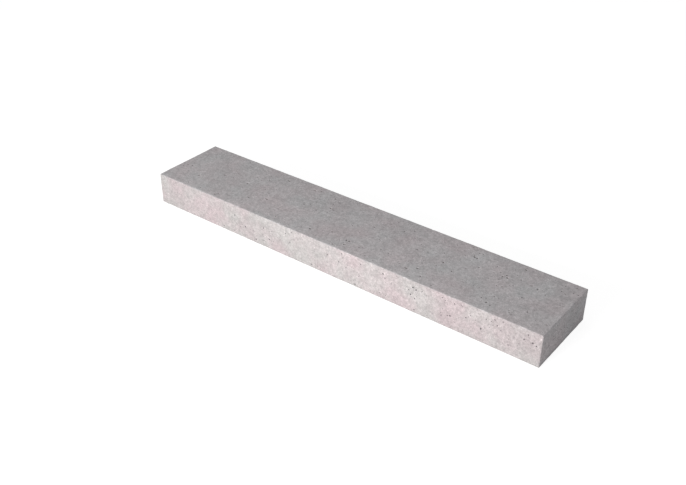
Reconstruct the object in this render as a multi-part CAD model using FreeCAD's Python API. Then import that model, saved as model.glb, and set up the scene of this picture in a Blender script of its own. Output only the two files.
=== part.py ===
"""A massive concrete step block: one solid casting that is laid as a garden or entrance step.

Millimetres. The origin is at the middle of the bed, the face that the block lies on. +X runs along
the step, +Y from the riser to the back, and +Z up to the tread.
"""

import FreeCAD, Part
import os

# Driving dimensions
length = 2000.0         # along the step, from end face to end face
tread_depth = 370.0     # from the riser face to the back face
rise = 150.0            # from the bed to the tread
arris_radius = 4.0      # the mould's rounding along all the edges


def step_block():
    """The casting: a plain rectangular block whose edges and corners are all lightly rounded."""
    corner = FreeCAD.Vector(-length / 2, -tread_depth / 2, 0)
    block = Part.makeBox(length, tread_depth, rise, corner)
    return block.makeFillet(arris_radius, block.Edges)


def export(shape, node):
    """Writes one piece to parts/, after a look at whether it is one sound solid."""
    if not shape.isValid() or len(shape.Solids) != 1:
        raise ValueError(f"{node} is not one valid solid")
    solid = shape.Solids[0]
    solid.exportStep(f"parts/{node}.step")
    box = solid.BoundBox
    litres = solid.Volume / 1e6
    print(f"{node}: {box.XLength:.1f} x {box.YLength:.1f} x {box.ZLength:.1f} mm, {litres:.2f} litres")


os.makedirs("parts", exist_ok=True)
export(step_block(), "step_block")
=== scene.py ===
"""The looks of the concrete step block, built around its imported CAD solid.

The CAD solid is the block with plain faces. One mesh takes its place here: the same block, with the
air holes that casting leaves in its faces, the small chips that handling knocks out of its arrises,
faces that are a hair out of flat, and a concrete material. Lengths are in metres, in the CAD frame:
+X along the step, -Y the riser, +Z the tread.

The mesh is made face by face. Each face is a sheet of points in its own plane, triangulated there,
and neighbouring faces share the points of the edge between them. Then the points are moved: those
near an edge round it off, those in an air hole sink, and those in a chip are scooped in.
"""

import math
import random

import bpy
import numpy as np
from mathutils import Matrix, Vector, noise
from mathutils.geometry import delaunay_2d_cdt


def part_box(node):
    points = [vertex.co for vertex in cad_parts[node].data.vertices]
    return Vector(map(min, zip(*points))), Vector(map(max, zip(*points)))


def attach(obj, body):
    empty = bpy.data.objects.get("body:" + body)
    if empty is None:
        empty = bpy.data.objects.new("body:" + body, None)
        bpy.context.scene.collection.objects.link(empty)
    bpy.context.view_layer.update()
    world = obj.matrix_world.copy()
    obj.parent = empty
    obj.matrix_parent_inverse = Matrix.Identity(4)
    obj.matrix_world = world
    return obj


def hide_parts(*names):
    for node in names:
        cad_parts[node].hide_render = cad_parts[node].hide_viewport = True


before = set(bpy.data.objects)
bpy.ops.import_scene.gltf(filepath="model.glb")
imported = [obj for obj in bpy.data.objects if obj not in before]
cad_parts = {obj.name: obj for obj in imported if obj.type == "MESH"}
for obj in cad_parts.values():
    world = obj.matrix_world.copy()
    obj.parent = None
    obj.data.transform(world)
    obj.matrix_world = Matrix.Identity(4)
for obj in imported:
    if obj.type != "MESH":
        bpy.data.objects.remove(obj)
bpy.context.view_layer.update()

MM = 0.001
HAIR = MM / 100                     # nearer than this counts as touching
NODE = "step_block"
LOW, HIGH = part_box(NODE)
MIDDLE = (LOW + HIGH) / 2
random.seed(370)

# ---------------------------------------------------------------- sizes of the surface's detail

ARRIS_RADIUS = 4 * MM               # the mould's rounding, as in the CAD solid
ARRIS_UNEVEN = 0.3                  # how far that radius wanders, as a share of it
ARRIS_WAVES = (11, 45)              # and how quickly: waves per metre
ARRIS_GRIT = 0.25 * MM              # how rough the rounding is
GRIT_PER_METRE = 180
ARRIS_ANGLES = (0, 11.25, 22.5, 33.75)      # rows of points, in degrees from the face to mid-arris
MID_ARRIS = 1 - math.sqrt(0.5)      # how far the surface has turned from its face in mid-arris
OUT_OF_FLAT = 0.3 * MM              # how far a face wanders from flat
FACE_WAVES = ((3, 0.35), (14, 0.15))        # waves per metre, and each one's share of that
SHARP_ANGLE = math.radians(28)      # from here on, the edge between two triangles is sharp

EDGE_STEP = 6 * MM                  # between points along an edge
EDGE_STRAY = 0.2                    # how far they stray, as a share of it
OPEN_STEP = 14 * MM                 # between points on the open face
OPEN_PLACES = (0.3, 0.7)            # where in its step each of them may lie
OPEN_MARGIN = 2.5 * ARRIS_RADIUS    # how far they keep from the face's edges
OPEN_GAP = 1.5 * MM                 # and from holes and chips

# Each ring inside an air hole's rim: its share of the width, and its share of the depth.
HOLE_RINGS = ((0.9, 0.5), (0.58, 0.9))
PINHOLE_RINGS = ((0.72, 0.75),)
RING_DEPTHS = (0.88, 1.12)          # how much the depth varies round a ring
RING_STEP = 1.4 * MM                # between points round a hole
HOLE_SIDES, PINHOLE_SIDES = 9, 6    # the fewest points round a hole, and those round a pinhole
PINHOLE_BELOW = 1.7 * MM            # a hole of a smaller radius is a pinhole
HOLE_DEPTHS = (0.9, 1.5)            # against the radius
HOLE_LOBES = ((2, 0.13), (3, 0.09), (5, 0.05))      # the rim's lobes: how many, and how far out
HOLE_REACH = 1.2                    # how far out the rim counts as reaching, against the radius
HOLE_OFF_CENTRE = 0.15              # how far off-centre the bottom may lie, against the radius
HOLE_GAP = 1.2 * MM                 # between one hole and the next

# How many holes and pinholes each face has at random, and the sizes that they come in.
HOLE_COUNTS = {"tread": (330, 960), "bed": (150, 500), "riser": (50, 500),
               "back": (110, 480), "right_end": (46, 150), "left_end": (9, 60)}
HOLE_RADII = (1.8 * MM, 3.5 * MM)
PINHOLE_RADII = (0.7 * MM, 1.7 * MM)
HOLES_SMALL = 2                     # the higher this power, the more of them are small
HOLE_STRETCHES = (1, 1.7)           # length over width
TRIES_PER_HOLE = 60                 # for each hole wanted, before the face counts as full
CLUSTERS_PER_METRE, CLUSTERING = 9, 0.9     # how near each other they gather, and how strongly

# The larger holes in view, listed in mm: from the left end, down from the face's upper
# edge (the back edge, on the tread), mean width, and length over width. Each is turned at random
# by up to this angle, in radians, from lying along the face.
LISTED_TURN = 0.5
TREAD_HOLES = (
    (35, 220, 10, 1.2), (60, 215, 10, 1.0), (157, 267, 11, 1.2), (215, 25, 9, 1.3), (252, 191, 12, 1.0),
    (260, 25, 9, 1.0), (340, 350, 9, 1.3), (346, 334, 9, 1.3), (385, 110, 8, 1.0), (390, 185, 11, 1.5),
    (453, 100, 10, 1.3), (480, 277, 10, 1.0), (527, 50, 11, 1.3), (557, 239, 12, 2.0), (677, 47, 12, 1.6),
    (690, 330, 8, 1.2), (707, 35, 10, 1.0), (792, 178, 8, 1.0), (800, 50, 10, 1.0), (835, 127, 11, 1.1),
    (851, 131, 10, 1.1), (870, 315, 11, 1.2), (960, 277, 8, 1.3), (1022, 352, 8, 1.1), (1051, 293, 10, 1.0),
    (1064, 292, 10, 1.0), (1062, 325, 9, 1.0), (1080, 137, 9, 1.3), (1158, 205, 8, 1.1), (1201, 87, 9, 1.0),
    (1235, 58, 8, 1.0), (1323, 171, 8, 1.0), (1363, 311, 11, 1.4), (1367, 160, 8, 1.2), (1395, 242, 7, 1.0),
    (1400, 285, 11, 1.3), (1440, 325, 8, 1.0), (1460, 188, 10, 1.7), (1520, 221, 8, 1.1), (1538, 75, 11, 1.0),
    (1540, 38, 7, 1.0), (1552, 78, 10, 1.0), (1553, 168, 8, 1.0), (1590, 130, 9, 1.3), (1677, 107, 7, 1.2),
    (1696, 127, 8, 1.0), (1705, 110, 9, 1.0), (1716, 124, 10, 1.2), (1730, 190, 8, 1.0), (1733, 316, 10, 1.1),
    (1740, 125, 7, 1.0), (1747, 31, 9, 1.5), (1767, 105, 7, 1.0), (1817, 115, 10, 1.0), (1847, 122, 8, 1.0),
    (1885, 275, 8, 1.0), (1927, 78, 8, 1.2),
)
RISER_HOLES = (
    (405, 133, 7, 1.3), (479, 51, 8, 1.4), (541, 89, 9, 1.2), (603, 130, 7, 1.6), (650, 118, 5, 1.2),
    (681, 101, 9, 1.4), (920, 134, 7, 1.3), (1007, 50, 6, 1.1), (1012, 12, 5, 1.3), (1068, 61, 7, 1.0),
    (1090, 32, 6, 1.0), (1152, 139, 7, 1.2), (1170, 90, 5, 1.2), (1180, 28, 5, 1.0), (1293, 27, 8, 1.2),
    (1335, 58, 4, 1.0), (1418, 50, 5, 1.2), (1427, 68, 7, 1.1), (1437, 31, 9, 1.1), (1447, 134, 6, 1.0),
    (1452, 37, 8, 1.0), (1572, 20, 6, 1.2), (1572, 104, 6, 1.2), (1586, 27, 5, 1.0), (1599, 93, 7, 1.3),
    (1611, 89, 8, 1.4), (1681, 65, 6, 1.0), (1691, 57, 4, 1.0), (1700, 46, 5, 1.3), (1748, 86, 8, 1.0),
    (1783, 64, 4, 1.0), (1789, 34, 5, 1.0), (1797, 46, 5, 1.2), (1803, 19, 7, 1.0), (1815, 41, 5, 1.0),
    (1837, 13, 6, 1.0), (1845, 110, 4, 1.0), (1867, 106, 6, 1.0), (1941, 23, 6, 1.1), (1963, 51, 9, 1.1),
    (1979, 58, 7, 1.0),
)

# The chips along the tread's front arris, listed: mm from the left end, depth in mm, and
# length over width.
FRONT_CHIPS = ((236, 0.8, 1.0), (604, 0.9, 1.6), (842, 0.7, 1.3), (1058, 1.4, 1.0), (1417, 1.8, 1.2),
               (1700, 1.0, 1.7), (1902, 1.2, 1.0))

# The random chips on the other arrises. Any too near a corner or another chip is dropped.
CHIPS_PER_METRE = 3.2
CHIP_DEPTHS = (0.5, 1.8)            # mm
CHIPS_SMALL = 2.5                   # the higher this power, the more of them are small
CHIP_STRETCHES = (1, 2)             # length over width
CHIP_ROOM = 3 * ARRIS_RADIUS        # from a chip's end to the corner or the next chip

# Each chip is scooped out by a ball. Its radius is this much, plus so many times the chip's depth.
CHIP_BALL, CHIP_SPREADS = 2 * MM, (4, 7)
CHIP_ROUGHNESS, CHIP_LUMPS_PER_METRE = 0.08, 300    # the roughness is against that radius
CHIP_STEP = 1.4 * MM                # between points in a chip
CHIP_BORDER = 2 * CHIP_STEP         # how far those points go on past its rim


# -------------------------------------------------------------------------- the faces and edges

class Face:
    """A flat side of the sharp-edged box: a corner, two directions along it, and how far it runs."""

    def __init__(self, corner, across, up):
        self.corner = Vector(corner)
        self.across = Vector(across)
        self.up = Vector(up)
        self.normal = self.across.cross(self.up)
        self.width = abs((HIGH - LOW).dot(self.across))
        self.height = abs((HIGH - LOW).dot(self.up))

    def place(self, u, v):
        return self.corner + self.across * u + self.up * v

    def flat(self, point):
        away = point - self.corner
        return away.dot(self.across), away.dot(self.up)

    def holds(self, point):
        return abs((point - self.corner).dot(self.normal)) < HAIR

    def margin(self, u, v):
        """How far a place is from the face's nearest edge."""
        return min(u, v, self.width - u, self.height - v)


class Edge:
    """An edge of the sharp box: where it starts, which way it runs, and how far."""

    def __init__(self, start, end, faces):
        self.start = start
        self.way = (end - start).normalized()
        self.length = (end - start).length
        self.faces = faces
        self.outward = (faces[0].normal + faces[1].normal).normalized()
        self.chips = []
        self.steps = []             # the points along it, but for those near its ends
        self.numbers = {}           # each point's number in the mesh, by how far along it is

    def inward(self, face):
        """The way from the edge into one of its two faces."""
        other = self.faces[1] if face is self.faces[0] else self.faces[0]
        return -other.normal

    def lay_out(self):
        """Spaces the points along the edge, closer where there is a chip."""
        ends = 2 * ARRIS_RADIUS
        count = round((self.length - 2 * ends) / EDGE_STEP)
        for i in range(count + 1):
            stray = random.uniform(-EDGE_STRAY, EDGE_STRAY) * EDGE_STEP
            step = ends + (self.length - 2 * ends) * i / count + stray
            if all(abs(step - chip.along) > chip.half_length for chip in self.chips):
                self.steps.append(step)
        for chip in self.chips:
            self.steps += chip.steps()
        self.steps.sort()


def make_faces():
    """The box's six faces, each with its directions chosen so that its normal points out."""
    x, y, z = Vector((1, 0, 0)), Vector((0, 1, 0)), Vector((0, 0, 1))
    return {
        "tread": Face((LOW.x, LOW.y, HIGH.z), x, y),
        "bed": Face((LOW.x, HIGH.y, LOW.z), x, -y),
        "riser": Face((LOW.x, LOW.y, LOW.z), x, z),
        "back": Face((HIGH.x, HIGH.y, LOW.z), -x, z),
        "right_end": Face((HIGH.x, LOW.y, LOW.z), y, z),
        "left_end": Face((LOW.x, HIGH.y, LOW.z), -y, z),
    }


def make_corners():
    return [Vector((x, y, z)) for x in (LOW.x, HIGH.x) for y in (LOW.y, HIGH.y) for z in (LOW.z, HIGH.z)]


def make_edges(faces, corners):
    """The box's twelve edges: each pair of corners that share two faces."""
    edges = []
    for i, start in enumerate(corners):
        for end in corners[i + 1:]:
            shared = [face for face in faces.values() if face.holds(start) and face.holds(end)]
            if len(shared) == 2:
                edges.append(Edge(start, end, shared))
    return edges


# ------------------------------------------------------------------------------ holes and chips

def mostly_small(sizes, power):
    """A random size between the two, nearer to the smaller one the higher the power is."""
    return sizes[0] + (sizes[1] - sizes[0]) * random.random() ** power


class Hole:
    """An air hole: an uneven oval bowl with steep sides, sunk in one face at (u, v)."""

    def __init__(self, u, v, radius, stretch, turn):
        self.u, self.v = u, v
        self.radius = radius
        self.long, self.short = radius * math.sqrt(stretch), radius / math.sqrt(stretch)
        self.turn = turn
        self.reach = self.long * HOLE_REACH
        self.depth = radius * random.uniform(*HOLE_DEPTHS)
        self.phases = [random.uniform(0, math.tau) for _ in HOLE_LOBES]
        off_centre = [random.uniform(-HOLE_OFF_CENTRE, HOLE_OFF_CENTRE) * radius for _ in range(2)]
        self.bottom = Vector((u, v)) + Vector(off_centre)

    def rim(self, angle):
        """A point of the rim: an oval with a few uneven lobes."""
        lobes = zip(HOLE_LOBES, self.phases)
        reach = 1 + sum(size * math.cos(count * angle + phase) for (count, size), phase in lobes)
        x, y = self.long * reach * math.cos(angle), self.short * reach * math.sin(angle)
        cos, sin = math.cos(self.turn), math.sin(self.turn)
        return Vector((self.u + x * cos - y * sin, self.v + x * sin + y * cos))

    def dig(self, sheet):
        """Adds the hole's points to its face: the rim, then ring by ring down to the bottom."""
        pinhole = self.radius < PINHOLE_BELOW
        sides = PINHOLE_SIDES if pinhole else max(HOLE_SIDES, round(self.radius * math.tau / RING_STEP))
        rim = [self.rim(math.tau * i / sides) for i in range(sides)]
        sheet.join_ring([sheet.add(*point) for point in rim])
        middles = [(here + after) / 2 for here, after in zip(rim, rim[1:] + rim[:1])]
        for spread, share in PINHOLE_RINGS if pinhole else HOLE_RINGS:
            for middle in middles:
                depth = self.depth * share * random.uniform(*RING_DEPTHS)
                sheet.add(*self.bottom.lerp(middle, spread), depth, share)
        sheet.add(*self.bottom, self.depth, 1)


class Chip:
    """A flake lost from an arris: a ball, drawn out along the edge, that scoops the arris away."""

    def __init__(self, edge, along, depth, stretch):
        self.edge = edge
        self.along = along
        self.stretch = stretch
        self.radius = CHIP_BALL + depth * random.uniform(*CHIP_SPREADS)
        past_corner = self.radius - depth - ARRIS_RADIUS * (math.sqrt(2) - 1)
        self.centre = edge.start + edge.way * along + edge.outward * past_corner
        half_chord = math.sqrt(2 * self.radius * depth - depth ** 2)
        self.half_length = stretch * half_chord + CHIP_BORDER
        on_face = math.sqrt(self.radius ** 2 - past_corner ** 2 / 2) - past_corner / math.sqrt(2)
        self.half_width = on_face + CHIP_BORDER

    def steps(self):
        """The close points along the edge, from one end of the chip to the other."""
        count = math.ceil(2 * self.half_length / CHIP_STEP)
        return [self.along + self.half_length * (2 * i / count - 1) for i in range(count + 1)]

    def rows(self):
        """How far in from the edge the rows of close points lie, past the arris."""
        count = max(0, math.ceil((self.half_width - ARRIS_RADIUS) / CHIP_STEP))
        return [ARRIS_RADIUS + CHIP_STEP * (i + 1) for i in range(count)]

    def scoop(self, point):
        """Where the chip leaves a point of the surface, and 1 if it moved it or else 0."""
        away = point - self.centre
        along = self.edge.way * away.dot(self.edge.way)
        squeezed = away - along + along / self.stretch
        reach = self.radius * (1 + CHIP_ROUGHNESS * noise.noise(point * CHIP_LUMPS_PER_METRE))
        if squeezed.length >= reach:
            return point, 0
        pushed = squeezed * (reach / squeezed.length)
        along = self.edge.way * pushed.dot(self.edge.way)
        return self.centre + pushed - along + along * self.stretch, 1


def chip_arrises(edges, faces):
    """Puts the listed chips on the tread's front arris, and random ones on the others."""
    for edge in edges:
        if faces["tread"] in edge.faces and faces["riser"] in edge.faces:
            edge.chips = [Chip(edge, x * MM, depth * MM, stretch) for x, depth, stretch in FRONT_CHIPS]
            continue
        for _ in range(round(edge.length * CHIPS_PER_METRE)):
            depth = mostly_small(CHIP_DEPTHS, CHIPS_SMALL) * MM
            chip = Chip(edge, random.uniform(0, edge.length), depth, random.uniform(*CHIP_STRETCHES))
            room = chip.half_length + CHIP_ROOM
            apart = [abs(chip.along - c.along) - c.half_length for c in edge.chips]
            if room < chip.along < edge.length - room and min(apart, default=1) > room:
                edge.chips.append(chip)


class Crowd:
    """What already lies on a face, as circles in a grid, to keep new things clear of it."""

    CELL = 30 * MM

    def __init__(self):
        self.cells = {}

    def cell(self, u, v):
        return int(u // self.CELL), int(v // self.CELL)

    def add(self, u, v, reach):
        self.cells.setdefault(self.cell(u, v), []).append((u, v, reach))

    def clear(self, u, v, reach):
        i, j = self.cell(u, v)
        for near in ((i + di, j + dj) for di in (-1, 0, 1) for dj in (-1, 0, 1)):
            for x, y, other in self.cells.get(near, ()):
                if math.hypot(u - x, v - y) < reach + other:
                    return False
        return True


def listed_holes(face, listed, crowd):
    """The listed holes, but for any that would lie on a chip or on another hole."""
    holes = []
    for along, down, width, stretch in listed:
        turn = random.uniform(-LISTED_TURN, LISTED_TURN)
        hole = Hole(along * MM, face.height - down * MM, width * MM / 2, stretch, turn)
        if crowd.clear(hole.u, hole.v, hole.reach):
            crowd.add(hole.u, hole.v, hole.reach)
            holes.append(hole)
    return holes


def random_holes(face, count, radii, crowd):
    """Holes of random size and place, most of them small, gathered in loose clusters."""
    holes = []
    for _ in range(TRIES_PER_HOLE * count):
        if len(holes) == count:
            break
        u, v = random.uniform(0, face.width), random.uniform(0, face.height)
        radius = mostly_small(radii, HOLES_SMALL)
        hole = Hole(u, v, radius, random.uniform(*HOLE_STRETCHES), random.uniform(0, math.pi))
        crowding = 0.5 + CLUSTERING * noise.noise(face.place(u, v) * CLUSTERS_PER_METRE)
        inside = face.margin(u, v) > ARRIS_RADIUS + hole.reach + HOLE_GAP
        if inside and random.random() < crowding and crowd.clear(u, v, hole.reach + HOLE_GAP):
            crowd.add(u, v, hole.reach)
            holes.append(hole)
    return holes


# ------------------------------------------------------------------------------------- the mesh

class Surface:
    """The whole mesh: its points on the sharp box, how each is sunk, and the triangles and their map."""

    def __init__(self):
        self.points = []
        self.sinks = []             # how far each point sinks in
        self.hollows = []           # how deep in a hole each point lies, from 0 to 1
        self.triangles = []
        self.map = []               # (u, v) on the texture map of each triangle's corners

    def add(self, point, sink=0.0, hollow=0.0):
        self.points.append(point)
        self.sinks.append(sink)
        self.hollows.append(hollow)
        return len(self.points) - 1


class Sheet:
    """The points of one face in its own plane, in mm, and the pairs of them that have to be joined."""

    SAME_PLACE = 1e-5               # mm: points nearer than this are one point

    def __init__(self, face, surface):
        self.face = face
        self.surface = surface
        self.flat = []
        self.numbers = []
        self.joined = []

    def lay(self, point, number):
        u, v = self.face.flat(point)
        self.flat.append(Vector((u / MM, v / MM)))
        self.numbers.append(number)

    def add(self, u, v, sink=0.0, hollow=0.0):
        point = self.face.place(u, v)
        self.lay(point, self.surface.add(point, sink, hollow))
        return len(self.flat) - 1

    def join_ring(self, ring):
        self.joined += zip(ring, ring[1:] + ring[:1])

    def triangulate(self, window):
        """Joins the points up, and lays the triangles in a window of the texture map."""
        _, _, triangles, origins, _, _ = delaunay_2d_cdt(self.flat, self.joined, [], 0, self.SAME_PLACE)
        left, bottom, wide, high = window
        for triangle in triangles:
            corners = [origins[i][0] for i in triangle]
            self.surface.triangles.append([self.numbers[i] for i in corners])
            for i in corners:
                u, v = self.flat[i] * MM
                across, up = wide * u / self.face.width, high * v / self.face.height
                self.surface.map.append((left + across, bottom + up))


def arris_spans():
    """How far from an edge the rows of points lie that round it off."""
    return [ARRIS_RADIUS * (1 - math.tan(math.radians(angle))) for angle in ARRIS_ANGLES]


def number_edges(edges, corners, surface):
    """Adds the points that faces share, and returns the corners' numbers."""
    for edge in edges:
        near_ends = [s for span in arris_spans() for s in (span, edge.length - span)]
        for step in edge.steps + near_ends:
            edge.numbers[step] = surface.add(edge.start + edge.way * step)
    return [surface.add(corner) for corner in corners]


def lay_arrises(sheet, edges):
    """The rows of points along a face's edges, with the closer ones in each chip."""
    for edge in edges:
        inward = edge.inward(sheet.face)
        for step, number in edge.numbers.items():
            sheet.lay(edge.start + edge.way * step, number)
        for step in edge.steps:
            rows = arris_spans()
            for chip in edge.chips:
                if abs(step - chip.along) <= chip.half_length + HAIR:
                    rows = rows + chip.rows()
            for row in rows:
                sheet.add(*sheet.face.flat(edge.start + edge.way * step + inward * row))


def lay_corners(sheet, corners, numbers):
    """The grid of points in each corner of a face, where two arrises meet."""
    face = sheet.face
    for corner, number in zip(corners, numbers):
        if face.holds(corner):
            sheet.lay(corner, number)
    for span_u in arris_spans():
        for span_v in arris_spans():
            for u in (span_u, face.width - span_u):
                for v in (span_v, face.height - span_v):
                    sheet.add(u, v)


def lay_open_face(sheet, crowd):
    """Points in loose rows over the rest of the face, clear of all that lies on it."""
    face = sheet.face
    row_height = OPEN_STEP * math.sqrt(3) / 2
    for row in range(math.ceil(face.height / row_height)):
        for i in range(math.ceil(face.width / OPEN_STEP)):
            u = (i + 0.5 * (row % 2) + random.uniform(*OPEN_PLACES)) * OPEN_STEP
            v = (row + random.uniform(*OPEN_PLACES)) * row_height
            if face.margin(u, v) > OPEN_MARGIN and crowd.clear(u, v, OPEN_GAP):
                sheet.add(u, v)


def map_windows(faces):
    """Each face's window on the texture map: the long faces stacked up, the two ends side by side."""
    gap = 0.006                     # between windows, as a share of the map
    names = ("tread", "riser", "back", "bed", "right_end")
    scale = (1 - gap * (len(names) + 1)) / sum(faces[name].height for name in names)
    windows = {}
    bottom = gap
    for name in names:
        high = faces[name].height * scale
        windows[name] = (gap, bottom, 1 - 2 * gap, high)
        bottom += high + gap
    left, bottom, wide, high = windows["right_end"]
    half = (wide - gap) / 2
    windows["right_end"] = (left, bottom, half, high)
    windows["left_end"] = (left + half + gap, bottom, half, high)
    return windows


def build_surface():
    """The triangulated block, still with sharp edges and flat faces, and all its chips."""
    faces, corners = make_faces(), make_corners()
    edges = make_edges(faces, corners)
    chip_arrises(edges, faces)
    for edge in edges:
        edge.lay_out()
    surface = Surface()
    corner_numbers = number_edges(edges, corners, surface)
    windows = map_windows(faces)
    listed = {"tread": TREAD_HOLES, "riser": RISER_HOLES}
    for name, face in faces.items():
        sheet, crowd = Sheet(face, surface), Crowd()
        own_edges = [edge for edge in edges if face in edge.faces]
        for chip in (chip for edge in own_edges for chip in edge.chips):
            crowd.add(*face.flat(chip.edge.start + chip.edge.way * chip.along), chip.half_length)
        lay_arrises(sheet, own_edges)
        lay_corners(sheet, corners, corner_numbers)
        holes = listed_holes(face, listed.get(name, ()), crowd)
        for count, radii in zip(HOLE_COUNTS[name], (HOLE_RADII, PINHOLE_RADII)):
            holes += random_holes(face, count, radii, crowd)
        for hole in holes:
            hole.dig(sheet)
        lay_open_face(sheet, crowd)
        sheet.triangulate(windows[name])
    return surface, [chip for edge in edges for chip in edge.chips]


def rounded(point):
    """Where a point of the sharp box lies on the rounded one, and the way out of it there."""
    wander = sum(noise.noise(point * per_metre) for per_metre in ARRIS_WAVES)
    radius = ARRIS_RADIUS * (1 + ARRIS_UNEVEN * wander)
    inner = Vector([min(max(point[i], LOW[i] + radius), HIGH[i] - radius) for i in range(3)])
    outward = (point - inner).normalized()
    return inner + outward * radius, outward


def turned(outward):
    """How far the surface has turned from its nearest face: 0 on the face, and more on an arris."""
    return 1 - max(map(abs, outward))


def uneven(point, outward):
    """How far in from the true shape the surface lies: a face slowly wanders, an arris is gritty."""
    slow = sum((share * noise.noise(point * per_metre) for per_metre, share in FACE_WAVES), 0.5)
    on_arris = turned(outward) / MID_ARRIS
    grit = 0.5 + 0.5 * noise.noise(point * GRIT_PER_METRE)
    return OUT_OF_FLAT * slow + ARRIS_GRIT * grit * min(1, on_arris)


def shape(surface, chips):
    """Each point's last place, how far it is turned into an arris, and whether it is in a chip."""
    places, arrises = [], []
    for point, sink in zip(surface.points, surface.sinks):
        place, outward = rounded(point)
        places.append(place - outward * (sink + uneven(point, outward)))
        arrises.append(turned(outward))
    scooped = [0.0] * len(places)
    sharp = np.array(surface.points)
    for chip in chips:
        away = np.linalg.norm(sharp - np.array(chip.centre), axis=1)
        for i in np.flatnonzero(away < chip.radius * chip.stretch + chip.half_width):
            places[i], moved = chip.scoop(places[i])
            scooped[i] = max(scooped[i], moved)
    return places, arrises, scooped


def add_attribute(mesh, name, values):
    mesh.attributes.new(name, "FLOAT", "POINT").data.foreach_set("value", values)


def make_block():
    """The finished mesh as an object: smooth but for the rims of its holes and chips."""
    surface, chips = build_surface()
    places, arrises, scooped = shape(surface, chips)
    mesh = bpy.data.meshes.new("cast_concrete_block")
    mesh.from_pydata(places, [], surface.triangles)
    add_attribute(mesh, "hollow", surface.hollows)
    add_attribute(mesh, "arris", arrises)
    add_attribute(mesh, "broken", scooped)
    own_map = mesh.uv_layers.new(name="OFBake")
    own_map.uv.foreach_set("vector", [value for pair in surface.map for value in pair])
    mesh.shade_smooth()
    mesh.set_sharp_from_angle(angle=SHARP_ANGLE)
    mesh.validate()
    block = bpy.data.objects.new("cast_concrete_block", mesh)
    bpy.context.scene.collection.objects.link(block)
    return block


# --------------------------------------------------------------------------------- the material

class Nodes:
    """A material's node tree, with one short method for each kind of node that it uses."""

    def __init__(self, tree):
        self.tree = tree

    def new(self, kind, inputs=(), **settings):
        node = self.tree.nodes.new(kind)
        for name, value in settings.items():
            setattr(node, name, value)
        for name, value in dict(inputs).items():
            if isinstance(value, bpy.types.NodeSocket):
                self.tree.links.new(value, node.inputs[name])
            else:
                node.inputs[name].default_value = value
        return node

    def math(self, operation, a, b=0.0, c=0.0):
        return self.new("ShaderNodeMath", {0: a, 1: b, 2: c}, operation=operation).outputs[0]

    def scaled(self, value, low, high, to_low, to_high):
        """A value from between low and high, moved to between to_low and to_high."""
        inputs = {"Value": value, "From Min": low, "From Max": high, "To Min": to_low, "To Max": to_high}
        return self.new("ShaderNodeMapRange", inputs).outputs["Result"]

    def ramp(self, value, stops):
        """A value that runs smoothly through the stops: pairs of a place from 0 to 1 and a level."""
        node = self.new("ShaderNodeValToRGB", {"Fac": value})
        node.color_ramp.interpolation = "EASE"
        elements = node.color_ramp.elements
        while len(elements) < len(stops):
            elements.new(1)
        for element, (place, level) in zip(elements, stops):
            element.position = place
            element.color = (level, level, level, 1)
        return node.outputs["Color"]

    def noise(self, where, per_metre, detail=2.0, roughness=0.5):
        inputs = {"Vector": where, "Scale": per_metre, "Detail": detail, "Roughness": roughness}
        return self.new("ShaderNodeTexNoise", inputs).outputs["Fac"]

    def cells(self, where, per_metre):
        """Small cells: how far each place is from its cell's middle, and the cell's random number."""
        node = self.new("ShaderNodeTexVoronoi", {"Vector": where, "Scale": per_metre})
        number = self.new("ShaderNodeSeparateColor", {"Color": node.outputs["Color"]}).outputs["Red"]
        return node.outputs["Distance"], number

    def facing(self, axis):
        """How far the surface faces along one axis of the part, from -1 to 1."""
        normal = self.new("ShaderNodeTexCoord").outputs["Normal"]
        return self.new("ShaderNodeSeparateXYZ", {"Vector": normal}).outputs[axis]

    def attribute(self, name):
        return self.new("ShaderNodeAttribute", attribute_name=name).outputs["Fac"]

    def mix(self, share, a, b):
        """The colour a where the share is 0, and b where it is 1. The sockets are a colour mix's own."""
        node = self.new("ShaderNodeMix", {"Factor": share}, data_type="RGBA")
        for socket, value in zip((node.inputs[6], node.inputs[7]), (a, b)):
            if isinstance(value, bpy.types.NodeSocket):
                self.tree.links.new(value, socket)
            else:
                socket.default_value = value
        return node.outputs[2]

    def times(self, colour, factor):
        node = self.new("ShaderNodeVectorMath", {0: colour, "Scale": factor}, operation="SCALE")
        return node.outputs[0]


# Even, slow to quick changes of tone: cells per metre, detail, roughness, and how far the tone swings.
TONE_LAYERS = ((6, 2, 0.5, 0.065), (32, 2, 0.6, 0.115), (85, 2, 0.6, 0.19), (200, 2, 0.7, 0.205),
               (800, 2, 0.6, 0.1))
TONE_SPAN = (0.25, 0.75)            # the noise values that swing it all the way
MOTTLING_SPAN = (0.3, 0.7)          # and those with which the second layer steers pores and roughness

# The cement's cooler and its warmer patches, and the same on the riser, which is pinker.
COOL_CEMENT, WARM_CEMENT = (0.418, 0.416, 0.424, 1), (0.426, 0.396, 0.407, 1)
COOL_RISER, WARM_RISER = (0.430, 0.423, 0.420, 1), (0.449, 0.397, 0.4085, 1)
WARMTH_PER_METRE = 8
WARMTH_SPAN = (0.32, 0.68)          # the noise values at which a patch is fully cool and fully warm
RISER_FACING = (-0.7, -1)           # along Y: from about mid-arris, the surface takes the riser's colours

# The riser's broad patches: the share of its length from the left end, and how warm it is there. A
# patch of 0.5 changes nothing.
RISER_PATCHES = ((0, 0.2), (0.06, 0.9), (0.18, 0.8), (0.25, 0.05), (0.33, 0.5), (0.42, 0.2), (0.5, 0.75),
                 (0.85, 0.7), (0.94, 0))
PATCH_WEIGHT = 0.6                  # how much they add to or take from the warmth
RISER_FOOT, FOOT_COOLER = 50 * MM, 0.25     # a cooler strip by its foot: how high, and how much
# Painted contact shade: a darker strip by the foot of every face but the riser.
OTHER_FOOT, FOOT_PAINTED_SHADE = 22 * MM, 0.8        # a darker strip by the others' foot: how high, and its tone

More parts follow.
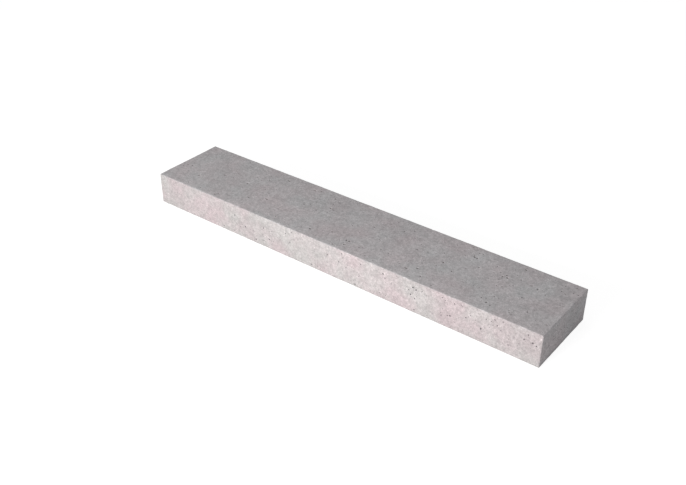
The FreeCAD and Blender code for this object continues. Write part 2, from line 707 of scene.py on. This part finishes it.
# Pores too small to model: cells per metre, the share of cells with one, and its widest radius in cells.
PORES = ((150, 0.10, 0.22), (330, 0.30, 0.30))
PORE_RIM = 0.08                     # in cells: how soft a pore's edge is
# Grains that show: cells per metre, the cell's random numbers at which a grain starts and is full, and
# its tone against the cement. They are dark sand, pale sand, and a little pale grit.
GRAINS = ((620, 0.94, 0.95, 0.75), (620, 0.04, 0.03, 1.15), (260, 0.003, 0.002, 1.35))

# The painted shade in a pore and at the bottom of a hole, and the tone in mid-arris and in a chip.
PORE_PAINTED_SHADE, HOLLOW_PAINTED_SHADE, ARRIS_TONE, BROKEN_TONE = 0.55, 0.4, 1.04, 0.92
# The finest relief, in mm: the fourth and fifth layers of tone stand out, and the pores sink in.
SPECKLE_HEIGHT, GRAIN_HEIGHT, PORE_DEPTH = 0.22, 0.1, 0.5
BUMP_STRENGTH = 0.8
ROUGHNESS = (0.84, 0.95)
SPECULAR = 0.35


def pores(n, where, crowding, per_metre, share, widest):
    """1 in a pore and 0 outside. Pores are commoner where crowding is high."""
    distance, number = n.cells(where, per_metre)
    number = n.math("ADD", number, n.scaled(crowding, *MOTTLING_SPAN, -share, share))
    radius = n.scaled(number, 1 - share, 1, 0, widest)
    return n.scaled(n.math("SUBTRACT", radius, distance), 0, PORE_RIM, 0, 1)


def patches_on_riser(n, along, height):
    """How warm the riser is, from 0 to 1, as it changes along the step and up from its foot."""
    patches = n.ramp(n.scaled(along, LOW.x, HIGH.x, 0, 1), RISER_PATCHES)
    return n.math("SUBTRACT", patches, n.scaled(height, LOW.z, LOW.z + RISER_FOOT, FOOT_COOLER, 0))


def concrete_material():
    """Grey cement with a warm cast, sand and grit that show through it, pores too small to model, and painted
    shade in pores, in holes and by the foot.
    """
    material = bpy.data.materials.new("concrete")
    material.use_nodes = True
    material.node_tree.nodes.clear()
    n = Nodes(material.node_tree)
    where = n.new("ShaderNodeTexCoord").outputs["Object"]
    along, _, height = n.new("ShaderNodeSeparateXYZ", {"Vector": where}).outputs
    layers = [n.noise(where, *layer[:3]) for layer in TONE_LAYERS]
    _, mottling, _, speckle, grain = layers

    on_riser = n.scaled(n.facing("Y"), *RISER_FACING, 0, 1)
    cool, warm = n.mix(on_riser, COOL_CEMENT, COOL_RISER), n.mix(on_riser, WARM_CEMENT, WARM_RISER)
    warmth = n.scaled(n.noise(n.times(where, -1), WARMTH_PER_METRE), *WARMTH_SPAN, 0, 1)
    shift = n.math("MULTIPLY", on_riser, n.math("SUBTRACT", patches_on_riser(n, along, height), 0.5))
    colour = n.mix(n.math("MULTIPLY_ADD", shift, PATCH_WEIGHT, warmth), cool, warm)
    # Painted contact shade: every face but the riser darkens towards its foot.
    foot = n.scaled(height, LOW.z, LOW.z + OTHER_FOOT, FOOT_PAINTED_SHADE, 1)
    colour = n.times(colour, n.math("MAXIMUM", on_riser, foot))
    for layer, (_, _, _, swing) in zip(layers, TONE_LAYERS):
        colour = n.times(colour, n.scaled(layer, *TONE_SPAN, 1 - swing, 1 + swing))

    # The pores darken: painted shade in them.
    pore = n.math("MAXIMUM", *[pores(n, where, mottling, *kind) for kind in PORES])
    colour = n.times(colour, n.scaled(pore, 0, 1, 1, PORE_PAINTED_SHADE))
    for per_metre, start, full, tone in GRAINS:
        _, number = n.cells(where, per_metre)
        colour = n.times(colour, n.scaled(number, start, full, 1, tone))
    # Painted shade: holes darken towards their bottom. Mid-arris and chips take their own tone.
    for name, full, tone in (("hollow", 1, HOLLOW_PAINTED_SHADE), ("arris", MID_ARRIS, ARRIS_TONE),
                             ("broken", 1, BROKEN_TONE)):
        colour = n.times(colour, n.scaled(n.attribute(name), 0, full, 1, tone))

    relief = n.math("MULTIPLY", speckle, SPECKLE_HEIGHT)
    relief = n.math("MULTIPLY_ADD", grain, GRAIN_HEIGHT, relief)
    relief = n.math("SUBTRACT", relief, n.math("MULTIPLY", pore, PORE_DEPTH))
    bump = n.new("ShaderNodeBump", {"Height": relief, "Strength": BUMP_STRENGTH, "Distance": MM})
    principled = n.new("ShaderNodeBsdfPrincipled", {
        "Base Color": colour,
        "Roughness": n.scaled(mottling, *MOTTLING_SPAN, *ROUGHNESS),
        "Normal": bump.outputs[0],
        "Specular IOR Level": SPECULAR,
    })
    n.new("ShaderNodeOutputMaterial", {"Surface": principled.outputs[0]})
    return material


# ----------------------------------------------------------------------------- the surroundings

CAMERA_AZIMUTH, CAMERA_ELEVATION = math.radians(37.79), math.radians(32.546)
CAMERA_DISTANCE = 4.1
CAMERA_AIM = MIDDLE + Vector((-0.0948, 0.0538, LOW.z - MIDDLE.z))
CAMERA_LENS = 48.27                 # mm, on the default 36 mm sensor

KEY_PLACE = Vector((-0.1, -3.0, 1.24))
KEY_SIZE = (1.8, 0.9)
KEY_POWER = 98
KEY_COLOUR = (1.0, 0.955, 0.94)
FILL_PLACE = Vector((1.35, -0.75, 0.55))
FILL_SIZE = (0.5, 0.5)
FILL_POWER = 0.58
LEFT_PLACE = Vector((-1.5, 0.4, 0.95))
LEFT_POWER = 0.6
SKY_LEVEL = 0.47
FLOOR_SIZE = 80
FLOOR_GAP = 0.1 * MM                # between the floor and the bed
FLOOR_COLOUR = (0.8, 0.8, 0.8, 1)
FLOOR_SHADOW, FLOOR_GLOW = 0.35, 0.83


def add_camera():
    """The photograph's viewpoint: over the riser's right, looking down along the tread."""
    camera = bpy.data.objects.new("camera", bpy.data.cameras.new("camera"))
    bpy.context.scene.collection.objects.link(camera)
    level = math.cos(CAMERA_ELEVATION)
    x, y = math.sin(CAMERA_AZIMUTH) * level, -math.cos(CAMERA_AZIMUTH) * level
    back = Vector((x, y, math.sin(CAMERA_ELEVATION)))
    camera.location = CAMERA_AIM + back * CAMERA_DISTANCE
    camera.rotation_euler = back.to_track_quat("Z", "Y").to_euler()
    camera.data.lens = CAMERA_LENS
    bpy.context.scene.camera = camera


def add_lamp(name, place, aim, size, power, colour):
    """A soft rectangular lamp."""
    lamp = bpy.data.objects.new(name, bpy.data.lights.new(name, "AREA"))
    lamp.data.shape = "RECTANGLE"
    lamp.data.size, lamp.data.size_y = size
    lamp.data.energy = power
    lamp.data.color = colour
    lamp.location = place
    lamp.rotation_euler = (place - aim).to_track_quat("Z", "Y").to_euler()
    bpy.context.scene.collection.objects.link(lamp)


def seen_directly(n):
    """1 for what the camera sees, in a mirror or through glass too, and 0 for light on its way."""
    path = n.new("ShaderNodeLightPath").outputs
    seen = n.math("MAXIMUM", path["Is Camera Ray"], path["Is Glossy Ray"])
    return n.math("MAXIMUM", seen, path["Is Transmission Ray"])


def add_sky():
    """An even grey light from all round, seen as white."""
    world = bpy.data.worlds.new("sky")
    world.use_nodes = True
    world.node_tree.nodes.clear()
    n = Nodes(world.node_tree)
    strength = n.scaled(seen_directly(n), 0, 1, SKY_LEVEL, 1)
    background = n.new("ShaderNodeBackground", {"Strength": strength})
    background.inputs["Color"].default_value = (1, 1, 1, 1)
    n.new("ShaderNodeOutputWorld", {"Surface": background.outputs[0]})
    bpy.context.scene.world = world


def add_floor():
    """A pale floor that runs out of sight, seen as white, with a faint shadow where it is shaded."""
    mesh = bpy.data.meshes.new("floor")
    half, level = FLOOR_SIZE / 2, LOW.z - FLOOR_GAP
    corners = ((-half, -half), (half, -half), (half, half), (-half, half))
    mesh.from_pydata([(x, y, level) for x, y in corners], [], [(0, 1, 2, 3)])
    material = bpy.data.materials.new("floor")
    material.use_nodes = True
    material.node_tree.nodes.clear()
    n = Nodes(material.node_tree)
    lit = n.new("ShaderNodeBsdfDiffuse", {"Color": FLOOR_COLOUR}).outputs[0]
    shaded = n.new("ShaderNodeBsdfDiffuse", {"Color": (FLOOR_SHADOW,) * 3 + (1,)}).outputs[0]
    glow = n.new("ShaderNodeEmission", {"Strength": FLOOR_GLOW}).outputs[0]
    seen = n.new("ShaderNodeAddShader", {0: shaded, 1: glow}).outputs[0]
    mixed = n.new("ShaderNodeMixShader", {0: seen_directly(n), 1: lit, 2: seen}).outputs[0]
    n.new("ShaderNodeOutputMaterial", {"Surface": mixed})
    mesh.materials.append(material)
    floor = bpy.data.objects.new("floor", mesh)
    bpy.context.scene.collection.objects.link(floor)


# -------------------------------------------------------------------------- putting it together

add_camera()
add_lamp("key", KEY_PLACE, MIDDLE, KEY_SIZE, KEY_POWER, KEY_COLOUR)
add_lamp("fill", FILL_PLACE, Vector((HIGH.x, MIDDLE.y, MIDDLE.z)), FILL_SIZE, FILL_POWER, KEY_COLOUR)
add_lamp("left", LEFT_PLACE, Vector((LOW.x, MIDDLE.y, HIGH.z)), FILL_SIZE, LEFT_POWER, KEY_COLOUR)
add_sky()
add_floor()
bpy.context.scene.view_settings.view_transform = "Standard"

block = make_block()
block.data.materials.append(concrete_material())
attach(block, "root")
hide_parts(NODE)
